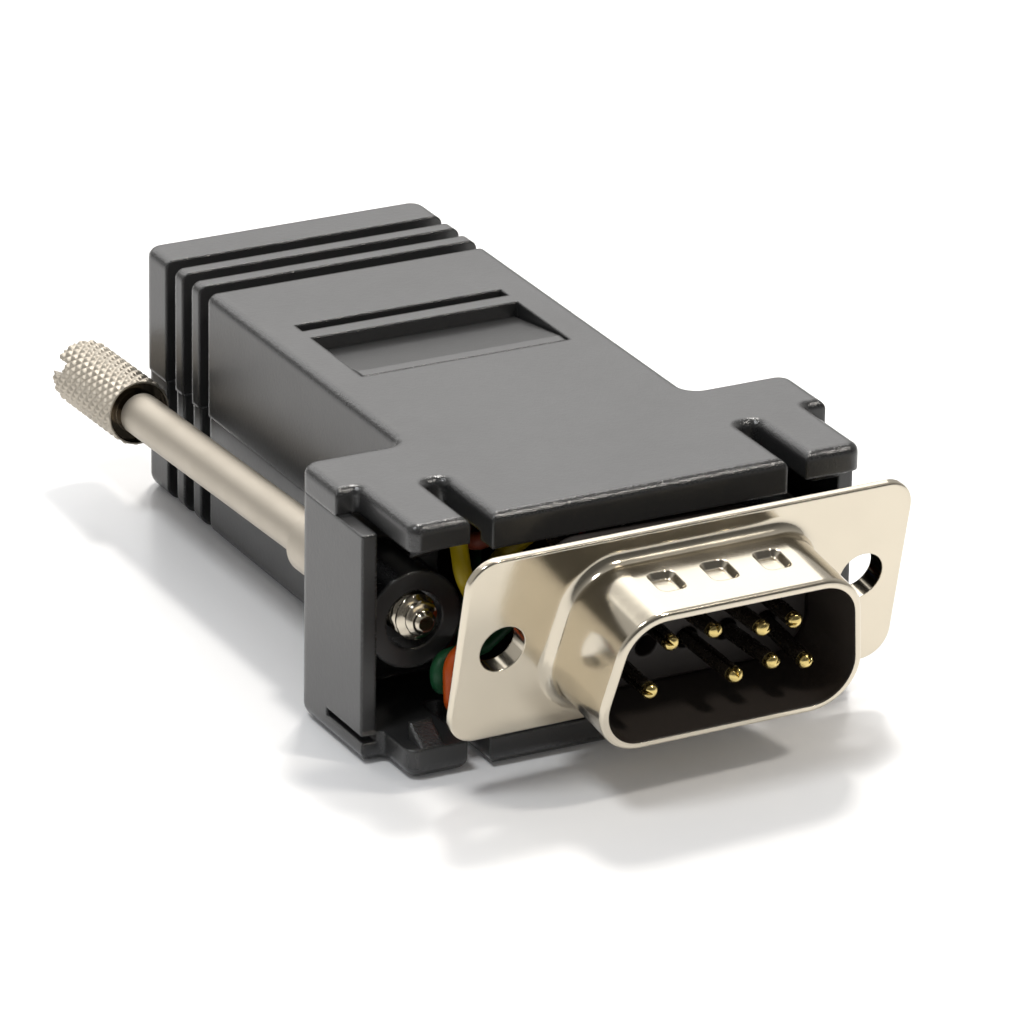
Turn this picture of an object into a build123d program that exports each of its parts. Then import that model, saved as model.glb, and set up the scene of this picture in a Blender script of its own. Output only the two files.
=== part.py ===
"""Serial adapter: a nine-position D-sub plug, loose on its leads, in front of a hood with a modular jack.

Frame: +Z up, -Y the plug's side, the origin on the underside, below the middle of the hood.
Pieces are drawn with y = 0 at the hood's front lip and moved forward by half its length when saved.
"""
from build123d import *
import math
import os

# Hood
hood_length = 48.9
hood_height = 16.4
hood_wall = 1.7
body_width = 19.6
body_parting = 8.2
lower_inset = 0.12
shoulder_width = 33.2
shoulder_depth = 12.3
shoulder_parting = 14.75
shoulder_side_wall = 1.0
shoulder_back_wall = 1.7
side_wall_front = 3.8
side_slit_end = 8.4
side_slit_low = 1.4
side_slit_high = 1.9
floor_thickness = 2.0
corner_radius = 1.05
tab_corner_radius = 0.75
notch_radius = 0.4
slot_end_radius = 0.55
edge_radius = 0.6
under_edge_radius = 1.0

# Tongue, spring tabs and the notches beside them
tongue_half = 9.9
tab_inner = 11.3
tab_outer = 15.15
tab_front = 0.2
tongue_lip_depth = 1.6
tongue_lip_drop = 0.55
slot_end = 6.4
upper_notch_end = 7.3
lower_notch_end = 3.65
wedge_inner = 12.8
wedge_outer = 14.3
wedge_back = 2.1
wedge_height = 1.1

# Grip grooves round the body
groove_start = 39.2
groove_width = 1.45
groove_pitch = 2.45
groove_count = 3
groove_depth = 0.9

# Latch window in the top
window_half_width = 7.2
window_front = 22.8
window_back = 29.9
window_depth = 1.5
window_floor = 1.3
slit_front = 31.1
slit_back = 32.2
slit_depth = 1.2
ramp_half_width = 5.2
ramp_gap = 0.2
ramp_land = 0.85
ramp_foot = 0.6

# Screw bosses
screw_spacing = 24.99
boss_radius = 3.1
boss_front = 5.0
boss_web = 1.9
boss_bore_radius = 2.2
boss_hole_radius = 1.85

# Thumbscrews
screw_droop = 1.9
screw_pivot = (6.0, 8.45)
thread_radius = 1.42
thread_length = 11.0
tip_radius = 0.75
shank_radius = 1.38
shank_length = 25.4
collar_radius = 2.0
collar_length = 4.0
head_radius = 2.2
head_length = 8.7
head_crown = 0.35
screw_slot_width = 0.9
screw_slot_depth = 1.3
screw_tip_y = 3.4

# Plug: place and tilt of the loose connector
plug_origin = (1.15, -3.4, 9.45)
plug_pitch = 10.4
plug_yaw = 3.1
plug_roll = 1.15

# Plug: shells
sheet = 0.5
flange_width = 30.81
flange_height = 12.55
flange_corner = 1.9
flange_edge = 0.18
skirt_width = 16.6
skirt_height = 8.36
skirt_angle = 10
skirt_corner = 2.6
skirt_depth = 6.1
skirt_flare = 0.8
rim_radius = 0.3
hole_radius = 1.525
eyelet_wall = 0.35
eyelet_flare = 0.4
eyelet_lip = 0.3
fit_gap = 0.1
rear_flange_margin = 0.4
rear_grow = 0.75
rear_depth = 2.35
dimple_length = 1.9
dimple_width = 2.1
dimple_depth = 0.42
dimple_taper = 35
dimple_pitch = 3.65
dimple_setback = 2.9

# Plug: insulator and contacts
insulator_face = 0.6
insulator_back = 4.6
insulator_step = 0.45
contact_pitch = 2.77
row_spacing = 2.84
pin_radius = 0.51
pin_tip = 5.5
pin_hole_radius = 0.75
barrel_radius = 1.0
barrel_front = 1.2
barrel_hole_radius = 1.1
crimp_radius = 0.9
crimp_neck = 0.62
crimp_end = 8.0
# Sideways and upward lean of each pin's tip, by position
pin_lean = {
    9: (-0.1, 0.45),
    8: (0.1, 0.7),
    7: (0.8, 0.1),
    6: (0.2, 0.2),
    5: (0.35, 0.1),
    3: (0.75, -0.05),
    2: (0.5, 0.4),
    1: (0.1, -0.1),
}

# Modular jack in the far end
jack_width = 15.9
jack_height = 12.6
jack_front = 30.4
jack_shoulder = 47.1
jack_nose_width = 14.0
jack_nose_height = 11.4
jack_recess = 0.3
jack_clearance = 0.1
plug_cavity_width = 11.9
plug_cavity_top = 13.1
plug_cavity_floor = 6.2
plug_cavity_end = 34.6
key_width = 6.4
key_floor = 4.8
latch_width = 4.1
latch_floor = 3.5
spring_pitch = 1.02
spring_count = 8
spring_radius = 0.2
spring_height = 13.65
spring_bend = 46.0
spring_tip = (38.6, 10.8)
spring_bend_radius = 0.5
spring_slot_width = 0.6
spring_slot_top = 14.0
carrier_width = 13.0
carrier_low = 3.0
carrier_high = 13.0
carrier_rib_high = 14.0
carrier_front = 28.4
carrier_back = 33.4
lead_hole_depth = 1.5

# Leads
lead_radius = 0.55
lead_exit = 1.7
lead_column_pitch = 3.2
lead_rows = (6.0, 10.4)
# Each lead's route by contact position: its points between the crimp and the jack
lead_routes = {
    9: ("yellow", (0, 1), [(-5.8, 6.8, 10.4), (-9.1, 3.7, 9.3), (-10.5, 2.6, 11.6), (-9.9, 4.6, 13.4),
                           (-7.0, 9.2, 13.3), (-5.6, 15.5, 12.0)]),
    8: ("brown", (1, 1), [(-3.2, 7.9, 13.6), (-8.7, 4.6, 11.9), (-6.6, 9.6, 11.8), (-2.2, 16.0, 12.2)]),
    7: ("blue", (2, 1), [(3.4, 9.0, 12.2), (2.6, 16.0, 12.6)]),
    6: ("black", (3, 1), [(6.6, 9.4, 12.2), (5.6, 16.0, 12.6)]),
    5: ("orange", (0, 0), [(-7.6, 4.0, 7.8), (-11.7, 1.6, 6.6), (-11.6, 1.6, 3.8), (-8.4, 5.8, 2.65),
                           (-5.6, 14.5, 2.9)]),
    3: ("green", (1, 0), [(-2.2, 8.0, 7.2), (-7.8, 5.0, 5.7), (-11.4, 3.8, 5.8), (-11.7, 3.3, 3.9),
                          (-8.0, 7.4, 4.5), (-2.4, 17.0, 6.4)]),
    2: ("red", (2, 0), [(2.4, 10.2, 8.4), (1.2, 17.0, 8.6)]),
    1: ("white", (3, 0), [(6.9, 10.2, 8.4), (5.0, 17.0, 8.2)]),
}
lead_bend = 0.85
lead_straight = 1.6

body_middle = (shoulder_depth + hood_length) / 2
body_run = hood_length - shoulder_depth
screw_x = screw_spacing / 2


def save(name, shape):
    """Moves a finished piece into the shared frame, labels it and writes it."""
    placed = Pos(0, -hood_length / 2, 0) * shape
    placed.label = name
    export_step(placed, f"parts/{name}.step")


def hood_plan(inset=0):
    """Plan of the hood: a wide shoulder in front and a narrow body behind."""
    with Locations((0, shoulder_depth / 2)):
        Rectangle(shoulder_width - 2 * inset, shoulder_depth)
    with Locations((0, body_middle)):
        Rectangle(body_width - 2 * inset, body_run)


def front_cuts(notch_end):
    """In a plan sketch, cuts the slots beside the tongue and the notches outside the tabs."""
    for side in (-1, 1):
        with Locations((side * (tongue_half + tab_inner) / 2, slot_end / 2 - 1)):
            Rectangle(tab_inner - tongue_half, slot_end + 2, mode=Mode.SUBTRACT)
        with Locations((side * (tab_outer + 2), notch_end / 2 - 1)):
            Rectangle(4, notch_end + 2, mode=Mode.SUBTRACT)
        with Locations((side * (tab_inner + tab_outer) / 2, tab_front / 2 - 1)):
            Rectangle(tab_outer - tab_inner, tab_front + 2, mode=Mode.SUBTRACT)


def corners_at(part, x, y):
    """The upright edges of a part at one place in the plan, on both sides."""
    upright = part.edges().filter_by(Axis.Z)
    return upright.filter_by(lambda edge: abs(abs(edge.center().X) - x) < 0.01 and abs(edge.center().Y - y) < 0.01)


def round_front_corners(part):
    """Rounds the tabs' outer corners and the ends of the slots."""
    fillet(corners_at(part, tab_outer, tab_front), radius=tab_corner_radius)
    fillet(corners_at(part, tab_inner, slot_end) + corners_at(part, tongue_half, slot_end), radius=slot_end_radius)


def cut_grip_grooves():
    """Cuts the ring-shaped grip grooves, down to a core that is rounded like the body."""
    for index in range(groove_count):
        start = groove_start + index * groove_pitch
        with BuildSketch(Plane.XZ.offset(-start)) as ring:
            with Locations((0, hood_height / 2)):
                Rectangle(body_width + 2, hood_height + 2)
                RectangleRounded(
                    body_width - 2 * groove_depth, hood_height - 2 * groove_depth, edge_radius, mode=Mode.SUBTRACT
                )
        extrude(ring.sketch, amount=-groove_width, mode=Mode.SUBTRACT)


def add_wedges(inner_face, rise):
    """Adds the ramped hooks that hold the flange, inside the front of both tabs."""
    for side in (-1, 1):
        with BuildSketch(Plane.YZ.offset(side * wedge_inner)) as hook:
            with BuildLine():
                Polyline(
                    (tab_front, inner_face),
                    (wedge_back, inner_face),
                    (wedge_back, inner_face + rise),
                    (tab_front, inner_face),
                )
            make_face()
        extrude(hook.sketch, amount=side * (wedge_outer - wedge_inner), dir=(1, 0, 0))


def cut_jack_opening():
    """Cuts the opening for the jack's nose through the end wall."""
    with BuildSketch(Plane.XZ.offset(-(hood_length + 1))) as opening:
        with Locations((0, hood_height / 2)):
            Rectangle(jack_nose_width + 2 * jack_clearance, jack_nose_height + 2 * jack_clearance)
    extrude(opening.sketch, amount=hood_wall + 2, mode=Mode.SUBTRACT)


def d_outline(grow=0):
    """The D shape of the plug, wide side down, grown outwards by a distance."""
    lean = math.tan(math.radians(skirt_angle))
    half_height = skirt_height / 2 + grow
    middle = skirt_width / 2 + grow / math.cos(math.radians(skirt_angle))
    wide = middle + half_height * lean
    narrow = middle - half_height * lean
    corners = [(-wide, -half_height), (wide, -half_height), (narrow, half_height), (-narrow, half_height)]
    with BuildSketch(mode=Mode.PRIVATE) as outline:
        with BuildLine():
            Polyline(*corners, close=True)
        make_face()
        fillet(outline.vertices(), radius=skirt_corner + grow)
    add(outline.sketch)


def rounded_route(points, radius):
    """Straight runs through the points, joined by tangent arcs of one radius."""
    points = [Vector(*point) for point in points]
    start = points[0]
    for before, corner, beyond in zip(points, points[1:], points[2:]):
        back = (before - corner).normalized()
        ahead = (beyond - corner).normalized()
        half = math.radians(back.get_angle(ahead)) / 2
        reach = radius / math.tan(half)
        sagitta = radius / math.sin(half) - radius
        Line(start, corner + back * reach)
        ThreePointArc(
            corner + back * reach,
            corner + (back + ahead).normalized() * sagitta,
            corner + ahead * reach,
        )
        start = corner + ahead * reach
    Line(start, points[-1])


def contact_site(position):
    """Across and up from the plug's middle: five positions below, four above, counted from the right."""
    if position <= 5:
        return ((3 - position) * contact_pitch, -row_spacing / 2)
    return ((7.5 - position) * contact_pitch, row_spacing / 2)


os.makedirs("parts", exist_ok=True)
inner_half = body_width / 2 - hood_wall
inner_floor = hood_wall
inner_ceiling = hood_height - hood_wall
wall_end = hood_length - hood_wall

# Upper cover
with BuildPart() as upper_cover:
    with BuildSketch(Plane.XY.offset(body_parting)):
        hood_plan()
        front_cuts(upper_notch_end)
    extrude(amount=hood_height - body_parting)
    round_front_corners(upper_cover)
    fillet(corners_at(upper_cover, tab_outer, upper_notch_end), radius=notch_radius)
    for corner_x, corner_y in (
        (shoulder_width / 2, shoulder_depth),
        (body_width / 2, shoulder_depth),
        (body_width / 2, hood_length),
    ):
        fillet(corners_at(upper_cover, corner_x, corner_y), radius=corner_radius)
    fillet(upper_cover.faces().sort_by(Axis.Z)[-1].edges(), radius=edge_radius)
    # Below the shoulder's parting line the cover is only as wide as the body
    with BuildSketch(Plane.XY.offset(body_parting)):
        with Locations((0, shoulder_depth / 2 - 1)):
            Rectangle(shoulder_width + 2, shoulder_depth + 2)
    extrude(amount=shoulder_parting - body_parting, mode=Mode.SUBTRACT)
    # Hollow body
    with BuildSketch(Plane.XY.offset(body_parting)):
        with Locations((0, (shoulder_depth + wall_end) / 2)):
            Rectangle(2 * inner_half, wall_end - shoulder_depth)
    extrude(amount=inner_ceiling - body_parting, mode=Mode.SUBTRACT)
    # Thicker wall under the latch window
    with BuildSketch(Plane.XY.offset(inner_ceiling - window_floor)):
        with Locations((0, (window_front + window_back) / 2)):
            Rectangle(2 * inner_half, window_back - window_front)
    extrude(amount=window_floor)
    with BuildSketch(Plane.XY.offset(hood_height - window_depth)):
        with Locations((0, (window_front + window_back) / 2)):
            Rectangle(2 * window_half_width, window_back - window_front)
    extrude(amount=window_depth, mode=Mode.SUBTRACT)
    with BuildSketch(Plane.XY.offset(hood_height - slit_depth)):
        with Locations((0, (slit_front + slit_back) / 2)):
            Rectangle(2 * window_half_width, slit_back - slit_front)
    extrude(amount=slit_depth, mode=Mode.SUBTRACT)
    # Latch ramp: a land across the window's front and a slope behind it
    land_top = hood_height - ramp_gap / 2
    land_front = window_front + ramp_gap
    with BuildSketch(Plane.XY.offset(hood_height - window_depth)):
        with Locations((0, land_front + ramp_land / 2)):
            Rectangle(2 * (window_half_width - ramp_gap), ramp_land)
    extrude(amount=land_top - hood_height + window_depth)
    with BuildSketch(Plane.YZ.offset(-ramp_half_width)):
        with BuildLine():
            Polyline(
                (land_front + ramp_land, hood_height - window_depth),
                (window_back - ramp_foot, hood_height - window_depth),
                (land_front + ramp_land, land_top),
                close=True,
            )
        make_face()
    extrude(amount=2 * ramp_half_width)
    # Thicker lip along the tongue's front
    with BuildSketch(Plane.XY.offset(shoulder_parting - tongue_lip_drop)):
        with Locations((0, tongue_lip_depth / 2)):
            Rectangle(2 * tongue_half, tongue_lip_depth)
    extrude(amount=2 * tongue_lip_drop)
    cut_grip_grooves()
    add_wedges(shoulder_parting, -wedge_height)
    cut_jack_opening()
save("upper_cover", upper_cover.part)

# Lower cover
with BuildPart() as lower_cover:
    with BuildSketch():
        hood_plan(lower_inset)
        with Locations((0, shoulder_depth / 2)):
            Rectangle(shoulder_width, shoulder_depth)
        front_cuts(lower_notch_end)
    extrude(amount=body_parting)
    lower_half = body_width / 2 - lower_inset
    fillet(corners_at(lower_cover, lower_half, shoulder_depth), radius=corner_radius)
    fillet(corners_at(lower_cover, lower_half, hood_length), radius=corner_radius)
    with BuildSketch():
        with Locations((0, shoulder_depth / 2)):
            Rectangle(shoulder_width, shoulder_depth)
        front_cuts(lower_notch_end)
    extrude(amount=shoulder_parting)
    round_front_corners(lower_cover)
    fillet(corners_at(lower_cover, tab_outer, lower_notch_end), radius=notch_radius)
    fillet(corners_at(lower_cover, shoulder_width / 2, shoulder_depth), radius=corner_radius)
    fillet(lower_cover.faces().sort_by(Axis.Z)[0].edges(), radius=under_edge_radius)
    # Hollow body, open at the front
    with BuildSketch(Plane.XY.offset(inner_floor)):
        with Locations((0, (shoulder_depth + wall_end) / 2)):
            Rectangle(2 * inner_half, wall_end - shoulder_depth)
    extrude(amount=body_parting, mode=Mode.SUBTRACT)
    with BuildSketch(Plane.XY.offset(floor_thickness)):
        with Locations((0, shoulder_depth / 2)):
            Rectangle(2 * inner_half, shoulder_depth + 2)
    extrude(amount=shoulder_parting, mode=Mode.SUBTRACT)
    # Mouth of the shoulder, between the side walls
    mouth_run = shoulder_depth - shoulder_back_wall
    with BuildSketch(Plane.XY.offset(floor_thickness)):
        with Locations((0, mouth_run / 2 - 1)):
            Rectangle(shoulder_width - 2 * shoulder_side_wall, mouth_run + 2)
        with Locations((0, side_wall_front / 2 - 1)):
            Rectangle(shoulder_width + 2, side_wall_front + 2)
    extrude(amount=shoulder_parting, mode=Mode.SUBTRACT)
    cut_grip_grooves()
    add_wedges(floor_thickness, wedge_height)
    # Slit that frees the foot of each side wall
    with BuildSketch(Plane.XY.offset(side_slit_low)):
        for side in (-1, 1):
            with Locations((side * shoulder_width / 2, side_slit_end / 2)):
                Rectangle(2 * shoulder_side_wall, side_slit_end)
    extrude(amount=side_slit_high - side_slit_low, mode=Mode.SUBTRACT)
    # Screw bosses on the shoulder's back wall
    for side in (-1, 1):
        boss_plane = Plane(origin=(side * screw_x, boss_front, body_parting), x_dir=(1, 0, 0), z_dir=(0, 1, 0))
        with BuildSketch(boss_plane):
            Circle(boss_radius)
        extrude(amount=shoulder_depth - boss_front)
        with BuildSketch(boss_plane.offset(boss_web)):
            Circle(boss_bore_radius)
        extrude(amount=shoulder_depth, mode=Mode.SUBTRACT)
        with BuildSketch(boss_plane):
            Circle(boss_hole_radius)
        extrude(amount=boss_web, mode=Mode.SUBTRACT)
    cut_jack_opening()
save("lower_cover", lower_cover.part)

# Thumbscrews, each drooping towards its head
screw_length = thread_length + collar_length + shank_length + head_length
collar_at = thread_length
shank_at = collar_at + collar_length
head_at = shank_at + shank_length
for side_name, side in (("left", -1), ("right", 1)):
    droop = math.radians(screw_droop)
    tip_z = screw_pivot[1] + (screw_pivot[0] - screw_tip_y) * math.tan(droop)
    axis_plane = Plane(
        origin=(side * screw_x, screw_tip_y, tip_z),
        x_dir=(1, 0, 0),
        z_dir=(0, math.cos(droop), -math.sin(droop)),
    )
    with BuildPart() as thumbscrew:
        with BuildSketch(Plane.XZ):
            with BuildLine():
                Polyline(
                    (0, 0),
                    (tip_radius, 0),
                    (thread_radius, thread_radius - tip_radius),
                    (thread_radius, collar_at),
                    (collar_radius, collar_at),
                    (collar_radius, shank_at),
                    (shank_radius, shank_at),
                    (shank_radius, head_at),
                    (head_radius - head_crown, head_at),
                    (head_radius, head_at + head_crown),
                    (head_radius, screw_length - head_crown),
                    (head_radius - head_crown, screw_length),
                    (0, screw_length),
                    close=True,
                )
            make_face()
        revolve(axis=Axis.Z)
        with BuildSketch(Plane.XY.offset(screw_length - screw_slot_depth)):
            Rectangle(3 * head_radius, screw_slot_width)
        extrude(amount=screw_slot_depth, mode=Mode.SUBTRACT)
    save(f"{side_name}_thumbscrew", axis_plane.location * thumbscrew.part)

# The plug is drawn square, with its flange's face on the XZ plane, and placed by this location
plug_place = Location(plug_origin) * Location((0, 0, 0), (0, 0, plug_yaw))
plug_place = plug_place * Location((0, 0, 0), (plug_pitch, 0, 0)) * Location((0, 0, 0), (0, plug_roll, 0))

with BuildPart() as front_shell:
    with BuildSketch(Plane.XZ):
        RectangleRounded(flange_width, flange_height, flange_corner)
    extrude(amount=-sheet)
    fillet(front_shell.faces().sort_by(Axis.Y)[0].edges(), radius=flange_edge)
    with BuildSketch(Plane.XZ):
        d_outline(sheet)
    extrude(amount=skirt_depth)
    root = front_shell.edges().filter_by_position(Axis.Y, -0.001, 0.001)
    fillet(root.filter_by(lambda edge: edge.bounding_box().size.X < skirt_width + 4
                          and abs(edge.center().Z) < skirt_height / 2 + 1
                          and abs(edge.center().X) < skirt_width / 2 + 2), radius=skirt_flare)
    fillet(front_shell.faces().sort_by(Axis.Y)[0].edges(), radius=rim_radius)
    with BuildSketch(Plane.XZ.offset(-sheet)):
        d_outline()
    extrude(amount=skirt_depth + sheet, mode=Mode.SUBTRACT)
    back_face = front_shell.faces().sort_by(Axis.Y)[-1]
    fillet(back_face.inner_wires().edges(), radius=skirt_flare + sheet - 0.02)
    # Dimples along the top of the skirt, pressed inwards
    for step in (-1, 0, 1):
        outside = (step * dimple_pitch, -dimple_setback, skirt_height / 2 + sheet)
        inside = (step * dimple_pitch, -dimple_setback, skirt_height / 2)
        with BuildSketch(Plane(origin=inside, x_dir=(1, 0, 0), z_dir=(0, 0, -1))):
            RectangleRounded(dimple_length, dimple_width, 0.5)
        extrude(amount=dimple_depth, taper=dimple_taper)
        with BuildSketch(Plane(origin=outside, x_dir=(1, 0, 0), z_dir=(0, 0, -1))):
            RectangleRounded(dimple_length, dimple_width, 0.5)
        extrude(amount=dimple_depth, taper=dimple_taper, mode=Mode.SUBTRACT)
    # Screw holes, drawn back through the rear shell as eyelets
    for side in (-1, 1):
        eyelet = Plane(origin=(side * screw_x, 0, 0), x_dir=(1, 0, 0), z_dir=(0, 1, 0))
        with BuildSketch(eyelet):
            Circle(hole_radius + eyelet_wall)
        extrude(amount=2 * sheet + eyelet_lip)
        with BuildSketch(eyelet.offset(2 * sheet)):
            Circle(hole_radius + eyelet_wall + eyelet_flare)
        extrude(amount=eyelet_lip)
        with BuildSketch(eyelet):
            Circle(hole_radius)
        extrude(amount=2 * sheet + eyelet_lip, mode=Mode.SUBTRACT)
save("front_shell", plug_place * front_shell.part)

with BuildPart() as rear_shell:
    with BuildSketch(Plane.XZ.offset(-sheet)):
        RectangleRounded(flange_width - 2 * rear_flange_margin, flange_height - 2 * rear_flange_margin, flange_corner)
    extrude(amount=-sheet)
    with BuildSketch(Plane.XZ.offset(-sheet)):
        d_outline(rear_grow)
    extrude(amount=-(rear_depth - sheet))
    with BuildSketch(Plane.XZ.offset(-sheet)):
        d_outline(rear_grow - sheet)
    extrude(amount=-(rear_depth - sheet), mode=Mode.SUBTRACT)
    for side in (-1, 1):
        with BuildSketch(Plane(origin=(side * screw_x, sheet, 0), x_dir=(1, 0, 0), z_dir=(0, 1, 0))):
            Circle(hole_radius + eyelet_wall + 0.02)
        extrude(amount=sheet, mode=Mode.SUBTRACT)
save("rear_shell", plug_place * rear_shell.part)

with BuildPart() as insulator:
    with BuildSketch(Plane.XZ.offset(insulator_face)):
        d_outline(-fit_gap)
    extrude(amount=-(insulator_face + sheet + fit_gap))
    with BuildSketch(Plane.XZ):
        d_outline(-insulator_step)
    extrude(amount=-insulator_back)
    with BuildSketch(Plane.XZ.offset(-sheet - fit_gap)):
        d_outline(rear_grow - sheet - fit_gap)
    extrude(amount=-(rear_depth - sheet - fit_gap))
    for position in range(1, 10):
        across, up = contact_site(position)
        site = Plane(origin=(across, -insulator_face, up), x_dir=(1, 0, 0), z_dir=(0, 1, 0))
        with BuildSketch(site):
            Circle(pin_hole_radius)
        extrude(amount=insulator_face + insulator_back, mode=Mode.SUBTRACT)
        with BuildSketch(site.offset(insulator_face + barrel_front - fit_gap)):
            Circle(barrel_hole_radius)
        extrude(amount=insulator_back, mode=Mode.SUBTRACT)
save("insulator", plug_place * insulator.part)

# Crimp contacts: a pin that leans a little in its hole, a barrel and a crimp
for position, (lean_across, lean_up) in pin_lean.items():
    across, up = contact_site(position)
    tip = Vector(across + lean_across, -pin_tip, up + lean_up)
    foot = Vector(across, 0, up)
    with BuildPart() as contact:
        with BuildSketch(Plane(origin=(across, 0, up), x_dir=(1, 0, 0), z_dir=(0, 1, 0))):
            Circle(pin_radius)
        extrude(amount=barrel_front)
        with BuildSketch(Plane(origin=foot, z_dir=tip - foot)):
            Circle(pin_radius)
        extrude(amount=(tip - foot).length)
        fillet(contact.faces().sort_by(Axis.Y)[0].edges(), radius=pin_radius * 0.8)
        with Locations(foot):
            Sphere(pin_radius)
        with BuildSketch(Plane(origin=(across, barrel_front, up), x_dir=(1, 0, 0), z_dir=(0, 1, 0))):
            Circle(barrel_radius)
        extrude(amount=insulator_back - barrel_front)
        with BuildSketch(Plane(origin=(across, insulator_back, up), x_dir=(1, 0, 0), z_dir=(0, 1, 0))):
            Circle(crimp_neck)
        extrude(amount=0.8)
        with BuildSketch(Plane(origin=(across, insulator_back + 0.8, up), x_dir=(1, 0, 0), z_dir=(0, 1, 0))):
            Circle(crimp_radius)
        extrude(amount=crimp_end - insulator_back - 0.8)
    save(f"contact_{position}", plug_place * contact.part)

# Modular jack
jack_middle = hood_height / 2
jack_end = hood_length - jack_recess
with BuildPart() as jack_housing:
    with BuildSketch(Plane.XZ.offset(-jack_front)):
        with Locations((0, jack_middle)):
            Rectangle(jack_width, jack_height)
    extrude(amount=-(jack_shoulder - jack_front))
    with BuildSketch(Plane.XZ.offset(-jack_shoulder)):
        with Locations((0, jack_middle)):
            Rectangle(jack_nose_width, jack_nose_height)
    extrude(amount=-(jack_end - jack_shoulder))
    # Keyed opening for the plug, key side down
    cavity_plane = Plane.XZ.offset(-plug_cavity_end)
    cavity_run = jack_end - plug_cavity_end
    for width, low, high in (
        (plug_cavity_width, plug_cavity_floor, plug_cavity_top),
        (key_width, key_floor, plug_cavity_floor),
        (latch_width, latch_floor, key_floor),
    ):
        with BuildSketch(cavity_plane):
            with Locations((0, (low + high) / 2)):
                Rectangle(width, high - low)
        extrude(amount=-cavity_run, mode=Mode.SUBTRACT)
    # Pocket for the carrier
    with BuildSketch(Plane.XZ.offset(-jack_front)):
        with Locations((0, (carrier_low + carrier_rib_high) / 2)):
            Rectangle(carrier_width + 2 * jack_clearance, carrier_rib_high - carrier_low + 2 * jack_clearance)
    extrude(amount=-(carrier_back - jack_front + jack_clearance), mode=Mode.SUBTRACT)
    # Combs that guide the springs
    slot_front = carrier_back - 1
    with BuildSketch(Plane.XZ.offset(-slot_front)):
        for index in range(spring_count):
            with Locations(((index - (spring_count - 1) / 2) * spring_pitch, (plug_cavity_floor + spring_slot_top) / 2 + 3)):
                Rectangle(spring_slot_width, 2)
    extrude(amount=-(spring_bend + 0.8 - slot_front), mode=Mode.SUBTRACT)
save("jack_housing", jack_housing.part)

with BuildPart() as jack_carrier:
    with BuildSketch(Plane.XZ.offset(-carrier_front)):
        with Locations((0, (carrier_low + carrier_high) / 2)):
            Rectangle(carrier_width, carrier_high - carrier_low)
    extrude(amount=-(carrier_back - carrier_front))
    with BuildSketch(Plane.XZ.offset(-jack_front)):
        with Locations((0, (carrier_high + carrier_rib_high) / 2)):
            Rectangle(carrier_width, carrier_rib_high - carrier_high)
    extrude(amount=-(carrier_back - jack_front))
save("jack_carrier", jack_carrier.part)

for index in range(spring_count):
    spring_x = (index - (spring_count - 1) / 2) * spring_pitch
    with BuildPart() as jack_spring:
        with BuildLine() as spring_path:
            rounded_route(
                [
                    (spring_x, carrier_back, spring_height),
                    (spring_x, spring_bend, spring_height),
                    (spring_x, spring_tip[0], spring_tip[1]),
                ],
                spring_bend_radius,
            )
        with BuildSketch(Plane(origin=(spring_x, carrier_back, spring_height), x_dir=(1, 0, 0), z_dir=(0, 1, 0))):
            Circle(spring_radius)
        sweep()
    save(f"jack_spring_{index + 1}", jack_spring.part)

# Leads from the crimps to the jack's carrier
for position, (colour, (column, row), route) in lead_routes.items():
    across, up = contact_site(position)
    start = (plug_place * Pos(across, crimp_end, up)).position
    after = (plug_place * Pos(across, crimp_end + lead_straight, up)).position
    exit_x = (column - 1.5) * lead_column_pitch
    exit_z = lead_rows[row]
    with BuildPart() as lead:
        with BuildLine() as lead_path:
            rounded_route(
                [
                    start,
                    after,
                    *route,
                    (exit_x, carrier_front - lead_exit, exit_z),
                    (exit_x, carrier_front, exit_z),
                ],
                lead_bend,
            )
        with BuildSketch(Plane(origin=start, z_dir=after - start)):
            Circle(lead_radius)
        sweep()
    save(f"{colour}_lead", lead.part)
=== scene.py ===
import math

import bpy
import numpy as np
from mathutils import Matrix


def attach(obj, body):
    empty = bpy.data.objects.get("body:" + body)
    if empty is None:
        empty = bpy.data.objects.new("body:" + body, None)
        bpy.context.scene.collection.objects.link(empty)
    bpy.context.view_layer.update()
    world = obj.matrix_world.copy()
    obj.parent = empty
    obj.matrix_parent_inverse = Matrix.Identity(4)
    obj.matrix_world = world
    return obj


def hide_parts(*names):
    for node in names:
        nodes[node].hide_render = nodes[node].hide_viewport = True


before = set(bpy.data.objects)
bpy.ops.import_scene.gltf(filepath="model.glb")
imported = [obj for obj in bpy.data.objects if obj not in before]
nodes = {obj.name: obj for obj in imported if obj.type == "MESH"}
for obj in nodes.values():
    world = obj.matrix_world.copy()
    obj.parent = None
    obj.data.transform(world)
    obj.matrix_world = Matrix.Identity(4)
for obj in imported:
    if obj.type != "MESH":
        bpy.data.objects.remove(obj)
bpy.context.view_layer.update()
print("frame loaded:", len(nodes), "pieces")

# The frame, the studio and the materials are in metres, the adapter's own sizes below in millimetres.
mm = 0.001
weldReach = 1e-7     # metres

camera = {
    "azimuth": -27.692,
    "elevation": 22.86,
    "roll": 0.862,
    "offset": (7.466, -13.619, -480.0),   # the hood's front lip as the camera sees it
    "lens": 281.25,
    "lipY": -24.45,
}

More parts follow.
